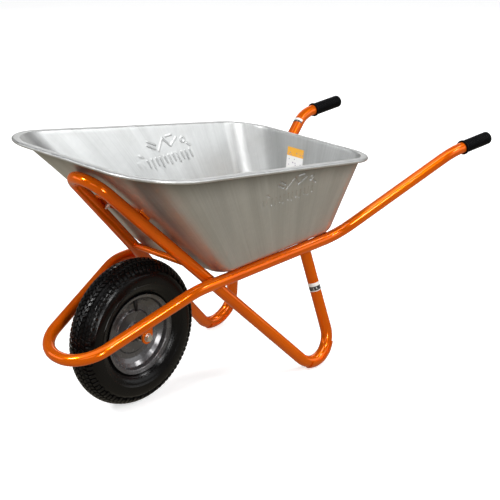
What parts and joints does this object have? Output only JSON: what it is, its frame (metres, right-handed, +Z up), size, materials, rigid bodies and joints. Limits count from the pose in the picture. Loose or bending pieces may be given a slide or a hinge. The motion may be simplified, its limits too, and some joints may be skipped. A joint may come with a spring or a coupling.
{
  "type": "wheelbarrow",
  "caption": "Builder's wheelbarrow: bent tube frame, deep galvanised tray on two legs, and one pneumatic wheel that turns freely on its axle.",
  "frame": {"origin": "on the ground, under the middle of the barrow's overall length and width", "axes": "+X forwards, towards the wheel; +Y to the operator's left; +Z up"},
  "size_m": [1.41, 0.6218, 0.7225],
  "materials": {
    "frame_paint": "gloss powder coat",
    "galvanised": "galvanised sheet",
    "zinc": "zinc plated",
    "bearing_steel": "ground",
    "grip_rubber": "satin",
    "tyre": "new rubber",
    "butyl": "matte",
    "rim_grey": "silver grey paint",
    "valve_cap": "moulded",
    "label": "printed film"
  },
  "bodies": {
    "frame": {"main_frame_tube": "frame_paint", "support_tube": "frame_paint", "front_crossbar": "frame_paint", "front_strap": "frame_paint", "rear_strap": "frame_paint", "tray": "galvanised", "tray_bolts": "zinc", "tray_washers": "zinc", "tray_nuts": "zinc", "left_axle_bracket": "frame_paint", "right_axle_bracket": "frame_paint", "axle_bolt": "zinc", "axle_nut": "zinc", "axle_washers": "zinc", "left_spacer": "zinc", "right_spacer": "zinc", "left_grip": "grip_rubber", "right_grip": "grip_rubber", "left_foot_shoe": "frame_paint", "right_foot_shoe": "frame_paint", "tray_label": "label", "leg_label": "label", "handle_label": "label"},
    "wheel": {"tyre": "tyre", "inner_tube": "butyl", "left_rim_half": "rim_grey", "right_rim_half": "rim_grey", "hub": "rim_grey", "left_bearing": "bearing_steel", "right_bearing": "bearing_steel", "valve_stem": "butyl", "valve_cap": "valve_cap"}
  },
  "joints": [
    {"name": "wheel_spin", "type": "hinge", "parent": "frame", "child": "wheel", "pos_m": [0.441, 0, 0.2], "axis": [0, 1, 0], "continuous": true}
  ]
}
